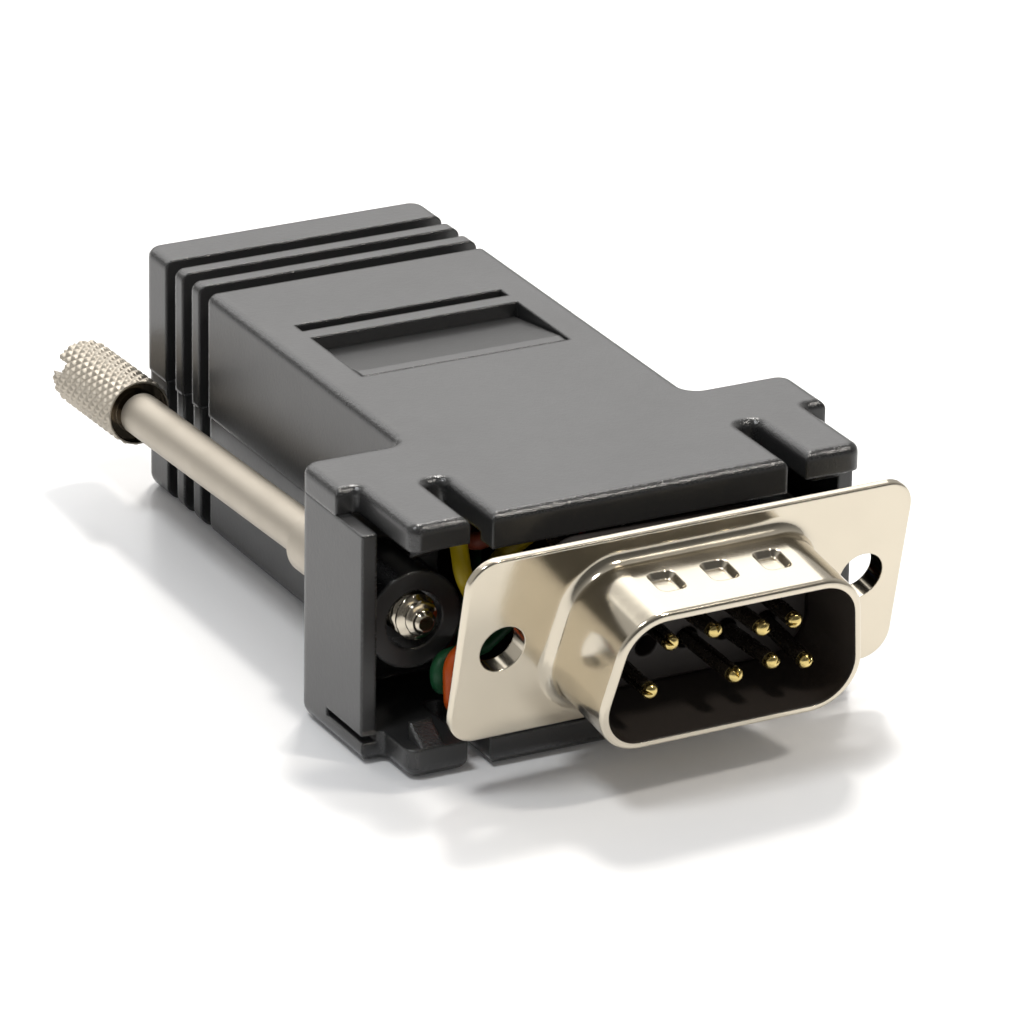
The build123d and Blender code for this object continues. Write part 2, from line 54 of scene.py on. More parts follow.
studio = {
    "floorColour": (0.93, 0.925, 0.915, 1),
    "floorGloss": 0.28,
    "worldLevel": 0.40,
    "worldTint": (0.94, 0.955, 1.0, 1),
    "worldShine": (0.11, 0.52),    # what shiny faces see of the room: in front, behind
    "shineTurns": (-0.75, 0.15),   # between these directions' Y it changes over
    "shineTint": (1, 0.98, 0.95, 1),
    "floorLift": 0.02,
    "backBox": {"at": (0.08, 0.63, 0.50), "size": (0.9, 0.6), "power": 2.7, "tint": (1, 0.99, 0.98)},
    # three lamps overhead, placed by where the photograph's shadows fall
    "rightFrontLamp": {
        "at": (0.24, -0.29, 0.48),
        "size": (0.06, 0.06), "power": 1.05, "tint": (1, 0.95, 0.88),
    },
    "leftLamp": {
        "at": (-0.23, -0.08, 0.55),
        "size": (0.12, 0.12), "power": 1.2, "tint": (0.96, 0.98, 1),
    },
    "rightBackLamp": {
        "at": (0.15, 0.20, 0.55),
        "size": (0.08, 0.08), "power": 1.7, "tint": (1, 0.97, 0.93),
    },
}

blackMoulding = {
    "colour": (0.022, 0.022, 0.022, 1),
    "roughness": (0.31, 0.35),
    "shine": 0.70,
    "cloudSize": 160.0,        # cells per metre, as each size of this kind below
    "smearSize": 900.0,
    "grainSize": 9000.0,       # the spark-eroded texture
    "grainHeight": 0.000016,
    "edgeRadius": 0.00030,
    "edgeFacing": (0.985, 0.87),   # the normal's largest component on faces, on corners
    "edgeGrain": 3.0,          # times the grain of the faces
    "edgeGlints": (0.14, 0.20),
    "insulatorColour": (0.022, 0.017, 0.014, 1),
    "insideGloss": -0.25,
}

nickel = {
    "colour": (0.66, 0.60, 0.49, 1),
    "screwColour": (0.52, 0.475, 0.405, 1),
    "roughness": (0.12, 0.20),
    "screwRoughness": (0.50, 0.58),
    "threadRoughness": (0.10, 0.18),
    # painted shade: the nickel in the screw heads' ring recess, darker than the rest
    "recessShadeColour": (0.16, 0.13, 0.095, 1),
    # painted shade: the colour for the shell's inward faces, which are nickel lying in shade
    "paintedShellShadeColour": (0.026, 0.019, 0.014, 1),
    "cloudSize": 260.0,
    "pitSize": 5200.0,
    "pitDepth": 0.000003,
    "rippleSize": 420.0,
    "rippleHeight": 0.000018,
    "edgeRadius": 0.00012,
}

gold = {
    "bright": (0.78, 0.63, 0.26, 1),
    "scratched": (0.62, 0.47, 0.17, 1),
    # painted shade: the pins' colour behind their tips, where they stand in the shell's shade
    "dark": (0.013, 0.010, 0.007, 1),
    "roughness": (0.14, 0.30),
    "scratchSize": 3200.0,
    "paintedShadeFrom": (-4.9, -4.85),     # mm from the flange's face where the painted shade on the pins starts and where it is full, forwards is minus
}

insulation = {
    "roughness": (0.34, 0.50),
    "shine": 0.3,
    "unevenSize": 1400.0,
    "unevenHeight": 0.00001,
    "deepShare": 0.80,
}

thumbscrew = {
    "tipY": 3.4,
    "droop": 1.9,
    "pivot": (12.495, 6.0, 8.45),
    "threadLength": 11.0,
    "threadRadius": 1.42,
    "threadDepth": 0.36,
    "threadPitch": 0.635,
    "threadFadesIn": (0.15, 0.7),       # from the tip
    "threadFadesOut": (2.6, 2.2),       # before the collar
    "ringsPerPitch": 10,
    "tipRadius": 0.5,
    "tipCone": 0.8,
    "collarRadius": 2.0,
    "collarLength": 4.0,
    "collarBevel": 0.12,
    "shankRadius": 1.38,
    "shankLength": 25.4,
    "headRadius": 2.2,
    "headLength": 8.7,
    "knurlCount": 17,
    "knurlDepth": 0.17,
    "knurlFlank": 0.75,
    "knurlStep": 0.06,
    "rimBevel": 0.1,
    "recess": 0.4,
    "recessRadius": 1.98,
    "crown": 0.22,
    "slotWidth": 0.9,
    "slotDepth": 1.3,
    "slotTurn": 24.0,
    "columns": 156,
    "sharpAngle": 38,
}

plug = {
    "origin": (1.15, -3.4, 9.45),      # middle of the flange's face
    "yaw": 3.1,
    "pitch": 10.4,
    "roll": 1.15,
    "insideHalfWidth": 9.6,     # where the shell's inward faces get painted shade: within the skirt, and up to the third of these behind the flange's face
    "insideHalfHeight": 4.5,
    "insideTo": 0.4,
}

latchRamp = {
    "halfWidth": 7.01,
    "front": 22.99,
    "landBack": 23.85,
    "back": 29.95,
    "floor": 14.85,
    "backTop": 15.45,
    "landTop": 16.315,     # just clear of the land below it
}

contact = {
    "pitch": 2.77,
    "rowSpacing": 2.84,
    "pinRadius": 0.51,
    "pinTip": 5.5,
    "domeShare": 0.8,      # the dome's length over the pin's radius
    "barrelAt": 1.2,
    "barrelRadius": 1.0,
    "neckAt": 4.6,
    "neckRadius": 0.62,
    "crimpAt": 5.4,
    "crimpRadius": 0.9,
    "endAt": 8.0,
    "seamDepth": 0.34,
    "seamWidth": 0.20,
    "crimpDent": 0.10,
    "columns": 48,
    "sharpAngle": 40,
    # sideways lean, upward lean and the seam's turn, by position
    "positions": {
        9: (-0.1, 0.45, 150), 8: (0.1, 0.7, 80), 7: (0.8, 0.1, 20), 6: (0.2, 0.2, 200),
        5: (0.35, 0.1, 170), 3: (0.75, -0.05, 100), 2: (0.5, 0.4, 35), 1: (0.1, -0.1, 60),
    },
}

leadColours = {
    "yellow": (0.30, 0.22, 0.001),
    "brown": (0.17, 0.035, 0.018),
    "blue": (0.03, 0.12, 0.42),
    "black": (0.02, 0.02, 0.02),
    "orange": (0.43, 0.060, 0.001),
    "green": (0.010, 0.075, 0.028),
    "red": (0.45, 0.025, 0.02),
    "white": (0.72, 0.71, 0.66),
}


# Materials

def plugAxes():
    # The loose plug's right, back and up directions: it is turned about its own length, then pitched, then
    # swung to the side. Each is a row of the product of three plain turns.
    (cosYaw, sinYaw), (cosPitch, sinPitch), (cosRoll, sinRoll) = (
        (math.cos(math.radians(plug[k])), math.sin(math.radians(plug[k]))) for k in ("yaw", "pitch", "roll")
    )
    aboutZ = np.array([[cosYaw, -sinYaw, 0], [sinYaw, cosYaw, 0], [0, 0, 1]])
    aboutX = np.array([[1, 0, 0], [0, cosPitch, -sinPitch], [0, sinPitch, cosPitch]])
    aboutY = np.array([[cosRoll, 0, sinRoll], [0, 1, 0], [-sinRoll, 0, cosRoll]])
    return (aboutZ @ aboutX @ aboutY).T


def plugPlace():
    return np.array(plug["origin"]) + np.array([0, camera["lipY"], 0])


def newMaterial(name):
    material = bpy.data.materials.new(name)
    material.use_nodes = True
    tree = material.node_tree
    tree.nodes.clear()
    output = tree.nodes.new("ShaderNodeOutputMaterial")
    shader = tree.nodes.new("ShaderNodeBsdfPrincipled")
    tree.links.new(shader.outputs["BSDF"], output.inputs["Surface"])
    return material, tree, shader


def objectPlace(tree):
    return tree.nodes.new("ShaderNodeTexCoord").outputs["Object"]


def noiseOn(tree, place, scale, detail=2.0, roughness=0.5):
    noise = tree.nodes.new("ShaderNodeTexNoise")
    noise.inputs["Scale"].default_value = scale
    noise.inputs["Detail"].default_value = detail
    noise.inputs["Roughness"].default_value = roughness
    tree.links.new(place, noise.inputs["Vector"])
    return noise.outputs["Fac"]


def spread(tree, value, low, high, toLow, toHigh):
    ranged = tree.nodes.new("ShaderNodeMapRange")
    ranged.inputs["From Min"].default_value = low
    ranged.inputs["From Max"].default_value = high
    ranged.inputs["To Min"].default_value = toLow
    ranged.inputs["To Max"].default_value = toHigh
    tree.links.new(value, ranged.inputs["Value"])
    return ranged.outputs["Result"]


def mathOn(tree, kind, a, b):
    step = tree.nodes.new("ShaderNodeMath")
    step.operation = kind
    for socket, value in zip(step.inputs, (a, b)):
        if isinstance(value, (int, float)):
            socket.default_value = value
        else:
            tree.links.new(value, socket)
    return step.outputs["Value"]


def colourBetween(tree, factor, first, second):
    mix = tree.nodes.new("ShaderNodeMix")
    mix.data_type = "RGBA"
    tree.links.new(factor, mix.inputs[0])
    mix.inputs[6].default_value = first
    mix.inputs[7].default_value = second
    return mix.outputs[2]


def bumpFrom(tree, height, distance, strength=1.0, normal=None):
    bump = tree.nodes.new("ShaderNodeBump")
    bump.inputs["Strength"].default_value = strength
    bump.inputs["Distance"].default_value = distance
    tree.links.new(height, bump.inputs["Height"])
    if normal is not None:
        tree.links.new(normal, bump.inputs["Normal"])
    return bump.outputs["Normal"]


def roundedNormal(tree, radius):
    # corners catch the light as if they had this radius
    bevel = tree.nodes.new("ShaderNodeBevel")
    bevel.samples = 6
    bevel.inputs["Radius"].default_value = radius
    return bevel.outputs["Normal"]


def edgeMask(tree, rounded):
    # 1 along corners: the hood's faces are square to the axes, on corners the normal has no component near 1
    parts = tree.nodes.new("ShaderNodeSeparateXYZ")
    tree.links.new(rounded, parts.inputs["Vector"])
    x, y, z = (mathOn(tree, "ABSOLUTE", parts.outputs[k], 0.0) for k in "XYZ")
    largest = mathOn(tree, "MAXIMUM", mathOn(tree, "MAXIMUM", x, y), z)
    return spread(tree, largest, *blackMoulding["edgeFacing"], 0.0, 1.0)


def makeBlackMoulding(name, grain=1.0, gloss=0.0, colour=None):
    # Black moulded plastic: cloudy gloss, a fine spark-eroded grain and corners with coarser grain and glints.
    values = blackMoulding
    material, tree, shader = newMaterial(name)
    place = objectPlace(tree)
    rounded = roundedNormal(tree, values["edgeRadius"])
    corners = edgeMask(tree, rounded)
    clouds = noiseOn(tree, place, values["cloudSize"], 3.0)
    smears = noiseOn(tree, place, values["smearSize"], 4.0, 0.6)
    mottled = mathOn(
        tree, "ADD", mathOn(tree, "MULTIPLY", clouds, 0.6), mathOn(tree, "MULTIPLY", smears, 0.4)
    )
    low, high = values["roughness"]
    rough = spread(tree, mottled, 0.35, 0.65, low - gloss, high - gloss)
    cells = noiseOn(tree, place, values["grainSize"], 1.0)
    fromSmears, fromCells = values["edgeGlints"]
    glints = mathOn(
        tree, "ADD", mathOn(tree, "MULTIPLY", smears, fromSmears),
        spread(tree, cells, 0.46, 0.58, 0.0, fromCells),
    )
    worn = mathOn(tree, "MULTIPLY", corners, glints)
    tree.links.new(mathOn(tree, "SUBTRACT", rough, worn), shader.inputs["Roughness"])
    base = colour or values["colour"]
    lighter = tuple(min(1.0, c * 1.08) for c in base[:3]) + (1,)
    tree.links.new(colourBetween(tree, clouds, base, lighter), shader.inputs["Base Color"])
    shader.inputs["Specular IOR Level"].default_value = values["shine"]
    coarse = noiseOn(tree, place, values["grainSize"] * 0.35, 2.0)
    relief = mathOn(tree, "ADD", cells, coarse)
    relief = mathOn(tree, "MULTIPLY", relief, spread(tree, corners, 0.0, 1.0, 1.0, values["edgeGrain"]))
    bump = bumpFrom(tree, relief, values["grainHeight"] * grain, 0.5, rounded)
    tree.links.new(bump, shader.inputs["Normal"])
    return material


def makeNickel(name, colour, roughness):
    # Bright nickel over drawn steel: warm grey, softly rippled, with clouded patches and fine pits.
    values = nickel
    material, tree, shader = newMaterial(name)
    place = objectPlace(tree)
    clouds = noiseOn(tree, place, values["cloudSize"], 4.0)
    pits = noiseOn(tree, place, values["pitSize"], 2.0)
    low, high = roughness
    tree.links.new(spread(tree, clouds, 0.3, 0.7, low, high), shader.inputs["Roughness"])
    dull = tuple(c * 0.9 for c in colour[:3]) + (1,)
    tree.links.new(colourBetween(tree, clouds, colour, dull), shader.inputs["Base Color"])
    shader.inputs["Metallic"].default_value = 1.0
    ripple = noiseOn(tree, place, values["rippleSize"], 2.0)
    rounded = roundedNormal(tree, values["edgeRadius"])
    soft = bumpFrom(tree, ripple, values["rippleHeight"], 0.35, rounded)
    tree.links.new(bumpFrom(tree, pits, values["pitDepth"], 0.25, soft), shader.inputs["Normal"])
    return material


def makeGold(name, paintedShadeOnPins=False):
    # Thin gold plating, a little duller where it is scratched; optionally with painted shade, dark and not
    # metallic behind the pins' tips.
    material, tree, shader = newMaterial(name)
    place = objectPlace(tree)
    scratches = noiseOn(tree, place, gold["scratchSize"], 3.0)
    tree.links.new(spread(tree, scratches, 0.35, 0.65, *gold["roughness"]), shader.inputs["Roughness"])
    plated = colourBetween(tree, scratches, gold["bright"], gold["scratched"])
    if paintedShadeOnPins:
        # painted shade behind the tips, where the pins stand in the shell's shade: the distance behind the
        # flange decides
        depth = tree.nodes.new("ShaderNodeVectorMath")
        depth.operation = "DOT_PRODUCT"
        back = plugAxes()[1]
        tree.links.new(place, depth.inputs[0])
        depth.inputs[1].default_value = tuple(back)
        low, high = (float(plugPlace() @ back + at) * mm for at in gold["paintedShadeFrom"])
        shade = spread(tree, depth.outputs["Value"], low, high, 0.0, 1.0)
        mix = tree.nodes.new("ShaderNodeMix")
        mix.data_type = "RGBA"
        tree.links.new(shade, mix.inputs[0])
        tree.links.new(plated, mix.inputs[6])
        mix.inputs[7].default_value = gold["dark"]
        plated = mix.outputs[2]
        tree.links.new(mathOn(tree, "SUBTRACT", 1.0, shade), shader.inputs["Metallic"])
    else:
        shader.inputs["Metallic"].default_value = 1.0
    tree.links.new(plated, shader.inputs["Base Color"])
    return material


def makeInsulation(name, colour):
    # Extruded lead insulation: one colour, faintly uneven, with a soft shine.
    material, tree, shader = newMaterial(name)
    place = objectPlace(tree)
    uneven = noiseOn(tree, place, insulation["unevenSize"], 3.0)
    deep = tuple(c * insulation["deepShare"] for c in colour) + (1,)
    tree.links.new(colourBetween(tree, uneven, tuple(colour) + (1,), deep), shader.inputs["Base Color"])
    tree.links.new(spread(tree, uneven, 0.3, 0.7, *insulation["roughness"]), shader.inputs["Roughness"])
    shader.inputs["Specular IOR Level"].default_value = insulation["shine"]
    tree.links.new(bumpFrom(tree, uneven, insulation["unevenHeight"], 0.4), shader.inputs["Normal"])
    return material


def paintShellShade(name, material):
    # Gives the faces that look inwards, within the D of the plug, a second material: painted shade, a dark
    # dull colour in place of the nickel where the inside of the shell lies in shade. The D is wide and low, so
    # up and down counts three times in what is inwards.
    mesh = nodes[name].data
    count = len(mesh.polygons)
    centres, normals = np.empty(count * 3), np.empty(count * 3)
    mesh.polygons.foreach_get("center", centres)
    mesh.polygons.foreach_get("normal", normals)
    local = (centres.reshape(-1, 3) / mm - plugPlace()) @ plugAxes().T
    facing = normals.reshape(-1, 3) @ plugAxes().T
    inwards = local[:, 0] * facing[:, 0] + 3 * local[:, 2] * facing[:, 2] < 0
    inwards &= np.abs(facing[:, 1]) < 0.8
    within = np.abs(local[:, 0]) < plug["insideHalfWidth"]
    within &= (np.abs(local[:, 2]) < plug["insideHalfHeight"]) & (local[:, 1] < plug["insideTo"])
    mesh.materials.append(material)
    mesh.polygons.foreach_set("material_index", (inwards & within).astype(np.int32))
    print("inside faces:", int((inwards & within).sum()))


def paint(name, material):
    mesh = nodes[name].data
    mesh.materials.clear()
    mesh.materials.append(material)


hoodPlastic = makeBlackMoulding("hoodPlastic")
lowerPlastic = makeBlackMoulding("lowerPlastic", grain=0.8)
jackPlastic = makeBlackMoulding("jackPlastic", grain=0.3, gloss=0.16)
insideGloss = blackMoulding["insideGloss"]
insulatorPlastic = makeBlackMoulding("insulatorPlastic", 0.4, insideGloss, blackMoulding["insulatorColour"])
# painted shade: a dark dull stand-in for the nickel on the shell's inward faces
paintedShellShade = makeBlackMoulding("paintedShellShade", 0.4, insideGloss, nickel["paintedShellShadeColour"])
shellNickel = makeNickel("shellNickel", nickel["colour"], nickel["roughness"])
screwNickel = makeNickel("screwNickel", nickel["screwColour"], nickel["screwRoughness"])
threadNickel = makeNickel("threadNickel", nickel["colour"], nickel["threadRoughness"])
recessShadeNickel = makeNickel("recessShadeNickel", nickel["recessShadeColour"], nickel["roughness"])
contactGold = makeGold("contactGold", paintedShadeOnPins=True)
springGold = makeGold("springGold")

paint("upper_cover", hoodPlastic)
paint("lower_cover", lowerPlastic)
paint("jack_housing", jackPlastic)
paint("jack_carrier", jackPlastic)
paint("insulator", insulatorPlastic)
paint("front_shell", shellNickel)
paintShellShade("front_shell", paintedShellShade)
paint("rear_shell", shellNickel)
for name in nodes:
    if name.startswith("contact_"):
        paint(name, contactGold)
    if name.startswith("jack_spring_"):
        paint(name, springGold)
for colourName, colour in leadColours.items():
    paint(colourName + "_lead", makeInsulation(colourName + "Insulation", colour))
print("materials on the carried pieces")


# Thumbscrews

def zigzag(phase):
    # 0 at whole numbers, 1 half way between them, straight in between
    return 1.0 - np.abs(2.0 * (phase - np.floor(phase)) - 1.0)


def smoothStep(value, low, high):
    t = np.clip((value - low) / (high - low), 0.0, 1.0)
    return t * t * (3.0 - 2.0 * t)


def gridSurface(name, points):
    # A mesh from a grid of points (rows, columns, 3), the columns joined end to end, one face per grid cell.
    rows, columns = points.shape[:2]
    row = np.arange(rows - 1)[:, None]
    column = np.arange(columns)[None, :]
    following = (column + 1) % columns
    here, above = row * columns, (row + 1) * columns
    corners = [here + column, here + following, above + following, above + column]
    faces = np.stack(corners, axis=-1).reshape(-1, 4)
    mesh = bpy.data.meshes.new(name)
    mesh.from_pydata(points.reshape(-1, 3).tolist(), [], faces.tolist())
    return mesh


def screwProfile(v, turn):
    # Distances along the axis and the radii there, in mm, one row per ring.
    # Thread: a cone at the tip, then the root radius plus a zigzag of distance / pitch - angle / full turn.
    # Knurl: head radius less a depth where the smaller of two zigzags that climb opposite ways is low.
    collarAt = v["threadLength"]
    shankAt = collarAt + v["collarLength"]
    headAt = shankAt + v["shankLength"]
    endAt = headAt + v["headLength"]
    pieces = []

    def add(rows):
        table = np.array(rows)
        pieces.append((table[:, :1], table[:, 1:] + 0 * turn))

    add([(0.0, 0.0)])
    threadAt = np.arange(0.0, collarAt - 0.02, v["threadPitch"] / v["ringsPerPitch"])[:, None]
    cone = np.clip(v["tipRadius"] + threadAt * v["tipCone"], 0, v["threadRadius"])
    wave = zigzag(threadAt / v["threadPitch"] - turn / (2 * math.pi))
    fadeFrom, fadeTo = v["threadFadesOut"]
    relief = smoothStep(threadAt, *v["threadFadesIn"])
    relief = relief * (1 - smoothStep(threadAt, collarAt - fadeFrom, collarAt - fadeTo))
    pieces.append((threadAt, cone - v["threadDepth"] * relief * (1.0 - np.clip(wave * 1.25, 0, 1))))
    collar, bevel = v["collarRadius"], v["collarBevel"]
    add([(collarAt, v["threadRadius"]), (collarAt, collar - bevel), (collarAt + bevel, collar)])
    add([(shankAt - bevel, collar), (shankAt, collar - bevel), (shankAt, v["shankRadius"])])
    add([(at, v["shankRadius"]) for at in np.linspace(shankAt + 0.2, headAt - 0.2, 10)])
    # the shank ends in a ring-shaped recess in the head's face
    deep = headAt + v["recess"]
    add([(deep, v["shankRadius"]), (deep, v["recessRadius"]), (headAt, v["recessRadius"])])
    add([(headAt, v["headRadius"] - v["rimBevel"])])
    knurlAt = np.arange(headAt + v["rimBevel"], endAt - v["knurlStep"] / 2, v["knurlStep"])
    knurlAt = np.append(knurlAt, endAt)[:, None]
    across = v["knurlCount"] / (2 * math.pi)
    left = zigzag(turn * across + knurlAt * across / v["headRadius"])
    right = zigzag(turn * across - knurlAt * across / v["headRadius"])
    grooves = 1 - smoothStep(np.minimum(left, right), 0.0, v["knurlFlank"])
    knurl = v["headRadius"] - v["knurlDepth"] * grooves
    crown = np.clip((endAt - knurlAt) / v["crown"], 0, 1)
    pieces.append((knurlAt, knurl - v["crown"] * (1 - np.sqrt(1 - (1 - crown) ** 2))))
    add([(endAt, 0.0)])
    return np.concatenate([at for at, _ in pieces]), np.concatenate([radius for _, radius in pieces])


def makeThumbscrew(side, nodeName, bodyName):
    # A turned screw: rings of the radius formula carried along an axis that droops towards the head.
    v = thumbscrew
    turn = np.linspace(0, 2 * math.pi, v["columns"], endpoint=False)[None, :]
    along, radius = screwProfile(v, turn)
    local = np.stack([radius * np.cos(turn), radius * np.sin(turn), along * np.ones_like(turn)], axis=-1)
    droop = math.radians(v["droop"])
    across = np.array([1.0, 0.0, 0.0])
    ahead = np.array([0.0, math.cos(droop), -math.sin(droop)])
    upward = np.cross(ahead, across)
    axes = np.array([across, upward, ahead])
    tipZ = v["pivot"][2] + (v["pivot"][1] - v["tipY"]) * math.tan(droop)
    origin = np.array([side * v["pivot"][0], v["tipY"] + camera["lipY"], tipZ])
    mesh = gridSurface(nodeName + "Turned", (local @ axes + origin) * mm)
    piece = bpy.data.objects.new(nodeName + "_detail", mesh)
    bpy.context.collection.objects.link(piece)
    weld = piece.modifiers.new("weld", "WELD")
    weld.merge_threshold = weldReach
    # the driver slot, cut with a plain block
    reach, width, depth = v["headRadius"] * 1.4, v["slotWidth"] / 2, v["slotDepth"]
    endAt = v["threadLength"] + v["collarLength"] + v["shankLength"] + v["headLength"]
    slotFrom, slotTo = endAt - depth, endAt + 1
    corners = np.array([
        [x, y, z] for x in (-reach, reach) for y in (-width, width) for z in (slotFrom, slotTo)
    ])
    tilt = math.radians(v["slotTurn"]) * -side
    spin = np.array([[math.cos(tilt), math.sin(tilt), 0], [-math.sin(tilt), math.cos(tilt), 0], [0, 0, 1]])
    block = bpy.data.meshes.new("slotBlock")
    sides = [(0, 1, 3, 2), (4, 6, 7, 5), (0, 4, 5, 1), (2, 3, 7, 6), (0, 2, 6, 4), (1, 5, 7, 3)]
    block.from_pydata(((corners @ spin @ axes + origin) * mm).tolist(), [], sides)
    cutter = bpy.data.objects.new("slotBlock", block)
    bpy.context.collection.objects.link(cutter)
    cut = piece.modifiers.new("slot", "BOOLEAN")
    cut.operation = "DIFFERENCE"
    cut.solver = "EXACT"
    cut.object = cutter
    ready = bpy.data.meshes.new_from_object(piece.evaluated_get(bpy.context.evaluated_depsgraph_get()))
    piece.modifiers.clear()
    piece.data = ready
    bpy.data.objects.remove(cutter)
    ready.materials.clear()
    ready.materials.append(screwNickel)
    ready.materials.append(threadNickel)
    ready.materials.append(recessShadeNickel)
    centres = np.empty(len(ready.polygons) * 3)
    ready.polygons.foreach_get("center", centres)
    inRow = (centres.reshape(-1, 3) / mm - origin) @ axes.T
    fromTip, fromAxis = inRow[:, 2], np.hypot(inRow[:, 0], inRow[:, 1])
    headAt = endAt - v["headLength"]
    hair = 0.01
    # painted shade: the ring recess in the head's face gets a darker nickel
    recessed = (fromTip > headAt + hair) & (fromTip < headAt + v["recess"] + hair)
    recessed &= fromAxis < v["recessRadius"] + hair
    kinds = np.where(recessed, 2, fromTip < v["threadLength"])
    ready.polygons.foreach_set("material_index", kinds.astype(np.int32))
    ready.polygons.foreach_set("use_smooth", np.ones(len(ready.polygons), dtype=bool))
    ready.set_sharp_from_angle(angle=math.radians(v["sharpAngle"]))
    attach(piece, bodyName)
    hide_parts(nodeName)
    print(nodeName, len(ready.polygons), "faces")


def contactRows(v):
    tip = v["pinTip"]
    dome = -tip + v["pinRadius"] * v["domeShare"] * (1 - np.cos(np.linspace(0, math.pi / 2, 9)))
    steps = [dome, np.linspace(-tip + 0.5, -0.3, 12), [0.0, 0.6, v["barrelAt"], v["barrelAt"]]]
    neck, crimp = v["neckAt"], v["crimpAt"]
    steps += [[v["barrelAt"] + 0.15, neck - 0.15, neck, neck, crimp, crimp]]
    steps += [np.linspace(crimp + 0.12, v["endAt"] - 0.12, 14), [v["endAt"], v["endAt"]]]
    return np.concatenate(steps)


def makeContact(number):
    # A rolled contact: circles carried along a line that bends once, where the pin leaves straight.
    # Pin radius: a quarter ellipse at the tip, less a seam that is a narrow bell of the angle.
    # Crimp radius: less two dents, a cosine of twice the angle.
    v = contact
    leanAcross, leanUp, seamTurn = v["positions"][number]
    across = (3 - number) * v["pitch"] if number <= 5 else (7.5 - number) * v["pitch"]
    up = v["rowSpacing"] / 2 * (-1 if number <= 5 else 1)
    along = contactRows(v)[:, None]
    turn = np.linspace(0, 2 * math.pi, v["columns"], endpoint=False)[None, :]
    dome = np.clip((along + v["pinTip"]) / (v["pinRadius"] * v["domeShare"]), 0, 1)
    pin = v["pinRadius"] * np.sqrt(np.clip(1 - (1 - dome) ** 2, 0, 1)) + 0 * turn
    offSeam = (turn - math.radians(seamTurn) + math.pi) % (2 * math.pi) - math.pi
    seam = v["seamDepth"] * np.exp(-(offSeam * np.maximum(pin, 0.12) / (v["seamWidth"] / 2)) ** 2)
    pin = pin - seam * np.clip(1.6 * pin / v["pinRadius"] - 0.1, 0, 1)
    index = np.arange(len(along))[:, None]
    barrelFrom, neckFrom, crimpFrom = 24, 28, 30     # rows of contactRows where each part starts
    dented = smoothStep(along, 5.5, 6.0) * smoothStep(-along, -7.9, -7.4)
    crimp = v["crimpRadius"] - v["crimpDent"] * (0.5 + 0.5 * np.cos(2 * turn)) * dented
    radius = np.where(index < barrelFrom, pin, v["barrelRadius"])
    radius = np.where(index >= neckFrom, v["neckRadius"], radius)
    radius = np.where(index >= crimpFrom, crimp, radius)
    radius[0] = 0.0
    radius[-1] = 0.0
    lean = np.clip(-along / v["pinTip"], 0, 1)
    local = np.stack([
        across + leanAcross * lean + radius * np.cos(turn),
        along + 0 * turn,
        up + leanUp * lean + radius * np.sin(turn),
    ], axis=-1)
    mesh = gridSurface(f"contact{number}", ((local @ plugAxes()) + plugPlace()) * mm)
    mesh.flip_normals()
    piece = bpy.data.objects.new(f"contact_{number}_detail", mesh)
    bpy.context.collection.objects.link(piece)
    mesh.materials.append(contactGold)
    mesh.polygons.foreach_set("use_smooth", np.ones(len(mesh.polygons), dtype=bool))
    mesh.set_sharp_from_angle(angle=math.radians(v["sharpAngle"]))
    weld = piece.modifiers.new("weld", "WELD")
    weld.merge_threshold = weldReach
    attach(piece, "adapter")
    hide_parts(f"contact_{number}")


def makeLatchRamp(v):
    # The photographed ramp runs the whole width of the window, so this wedge lies over the narrower one.
    outline = [
        (v["front"], v["floor"]), (v["back"], v["floor"]), (v["back"], v["backTop"]),
        (v["landBack"], v["landTop"]), (v["front"], v["landTop"]),
    ]
    points = [(x, y + camera["lipY"], z) for x in (-v["halfWidth"], v["halfWidth"]) for y, z in outline]
    sides = [(k, (k + 1) % 5, (k + 1) % 5 + 5, k + 5) for k in range(5)]
    sides = [(4, 3, 2, 1, 0), (5, 6, 7, 8, 9)] + sides
    mesh = bpy.data.meshes.new("latchRamp")
    mesh.from_pydata((np.array(points) * mm).tolist(), [], sides)
    piece = bpy.data.objects.new("latch_ramp_face", mesh)
    bpy.context.collection.objects.link(piece)
    mesh.materials.append(hoodPlastic)
    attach(piece, "adapter")


makeLatchRamp(latchRamp)
for number in contact["positions"]:
    makeContact(number)
print("contacts rolled:", len(contact["positions"]))

makeThumbscrew(-1, "left_thumbscrew", "left_thumbscrew")
makeThumbscrew(1, "right_thumbscrew", "right_thumbscrew")


# Floor, lights and camera

def makeFloor():
    mesh = bpy.data.meshes.new("tableTop")
    mesh.from_pydata([(-3, -3, 0), (3, -3, 0), (3, 3, 0), (-3, 3, 0)], [], [(0, 1, 2, 3)])
    floor = bpy.data.objects.new("tableTop", mesh)
    bpy.context.collection.objects.link(floor)
    material, tree, shader = newMaterial("glossyWhite")
    shader.inputs["Base Color"].default_value = studio["floorColour"]
    shader.inputs["Roughness"].default_value = studio["floorGloss"]
    paths = tree.nodes.new("ShaderNodeLightPath")
    seen = mathOn(tree, "MAXIMUM", paths.outputs["Is Camera Ray"], paths.outputs["Is Glossy Ray"])
    shader.inputs["Emission Color"].default_value = (1, 1, 1, 1)
    tree.links.new(mathOn(tree, "MULTIPLY", seen, studio["floorLift"]), shader.inputs["Emission Strength"])
    mesh.materials.append(material)


def aimAt(obj, at, target):
    direction = np.array(target, float) - np.array(at, float)
    back = -direction / np.linalg.norm(direction)
    right = np.cross([0, 0, 1], back)
    right = right / np.linalg.norm(right)
    up = np.cross(back, right)
    for column, axis in enumerate((right, up, back)):
        for rowIndex in range(3):
            obj.matrix_world[rowIndex][column] = axis[rowIndex]
    obj.location = at


def makeLamp(name):
    values = studio[name]
    data = bpy.data.lights.new(name, "AREA")
    data.shape = "RECTANGLE"
    data.size, data.size_y = values["size"]
    data.energy = values["power"]
    data.color = values["tint"]
    lamp = bpy.data.objects.new(name, data)
    bpy.context.collection.objects.link(lamp)
    aimAt(lamp, values["at"], (0, 0, 0.008))


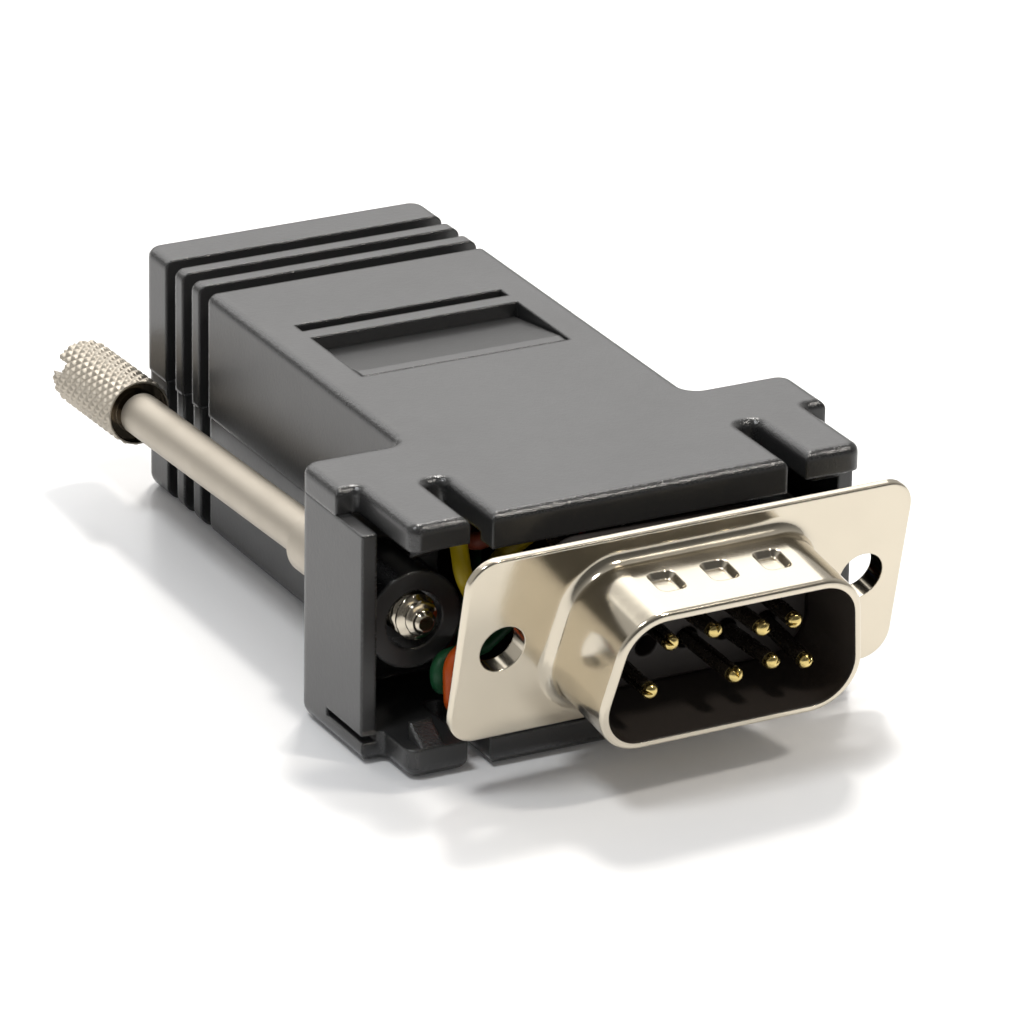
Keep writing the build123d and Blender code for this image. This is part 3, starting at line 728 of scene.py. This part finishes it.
def makeWorld():
    # White to the camera, plain soft grey as light, and in reflections pale behind and dim in front.
    world = bpy.data.worlds.new("whiteRoom")
    world.use_nodes = True
    tree = world.node_tree
    tree.nodes.clear()
    output = tree.nodes.new("ShaderNodeOutputWorld")
    paths = tree.nodes.new("ShaderNodeLightPath")
    room = tree.nodes.new("ShaderNodeBackground")
    room.inputs["Color"].default_value = studio["worldTint"]
    room.inputs["Strength"].default_value = studio["worldLevel"]
    direction = tree.nodes.new("ShaderNodeSeparateXYZ")
    tree.links.new(tree.nodes.new("ShaderNodeTexCoord").outputs["Generated"], direction.inputs["Vector"])
    shine = tree.nodes.new("ShaderNodeBackground")
    shine.inputs["Color"].default_value = studio["shineTint"]
    level = spread(tree, direction.outputs["Y"], *studio["shineTurns"], *studio["worldShine"])
    tree.links.new(level, shine.inputs["Strength"])
    white = tree.nodes.new("ShaderNodeBackground")
    white.inputs["Strength"].default_value = 1.0
    white.inputs["Color"].default_value = (1, 1, 1, 1)
    reflected = tree.nodes.new("ShaderNodeMixShader")
    tree.links.new(paths.outputs["Is Glossy Ray"], reflected.inputs["Fac"])
    tree.links.new(room.outputs["Background"], reflected.inputs[1])
    tree.links.new(shine.outputs["Background"], reflected.inputs[2])
    seen = mathOn(tree, "MAXIMUM", paths.outputs["Is Camera Ray"], paths.outputs["Is Transmission Ray"])
    mix = tree.nodes.new("ShaderNodeMixShader")
    tree.links.new(seen, mix.inputs["Fac"])
    tree.links.new(reflected.outputs["Shader"], mix.inputs[1])
    tree.links.new(white.outputs["Background"], mix.inputs[2])
    tree.links.new(mix.outputs["Shader"], output.inputs["Surface"])
    bpy.context.scene.world = world


def makeCamera():
    # The photograph's camera: axes from azimuth, elevation and roll, place from the offset seen along them.
    az, el, roll = (math.radians(camera[k]) for k in ("azimuth", "elevation", "roll"))
    back = np.array([math.sin(az) * math.cos(el), -math.cos(az) * math.cos(el), math.sin(el)])
    right = np.array([math.cos(az), math.sin(az), 0.0])
    up = np.cross(back, right)
    turnedRight = math.cos(roll) * right + math.sin(roll) * up
    turnedUp = -math.sin(roll) * right + math.cos(roll) * up
    axes = np.array([turnedRight, turnedUp, back])
    place = -np.array(camera["offset"]) @ axes + np.array([0, camera["lipY"], 0])
    data = bpy.data.cameras.new("photoCamera")
    data.lens = camera["lens"]
    data.sensor_width = 36.0
    data.clip_start = 0.05
    data.clip_end = 20.0
    obj = bpy.data.objects.new("photoCamera", data)
    bpy.context.collection.objects.link(obj)
    for column in range(3):
        for rowIndex in range(3):
            obj.matrix_world[rowIndex][column] = axes[column][rowIndex]
    obj.location = place * mm
    bpy.context.scene.camera = obj


makeFloor()
for name in ("backBox", "rightFrontLamp", "leftLamp", "rightBackLamp"):
    makeLamp(name)
makeWorld()
makeCamera()
bpy.context.scene.view_settings.view_transform = "Standard"
print("studio ready")
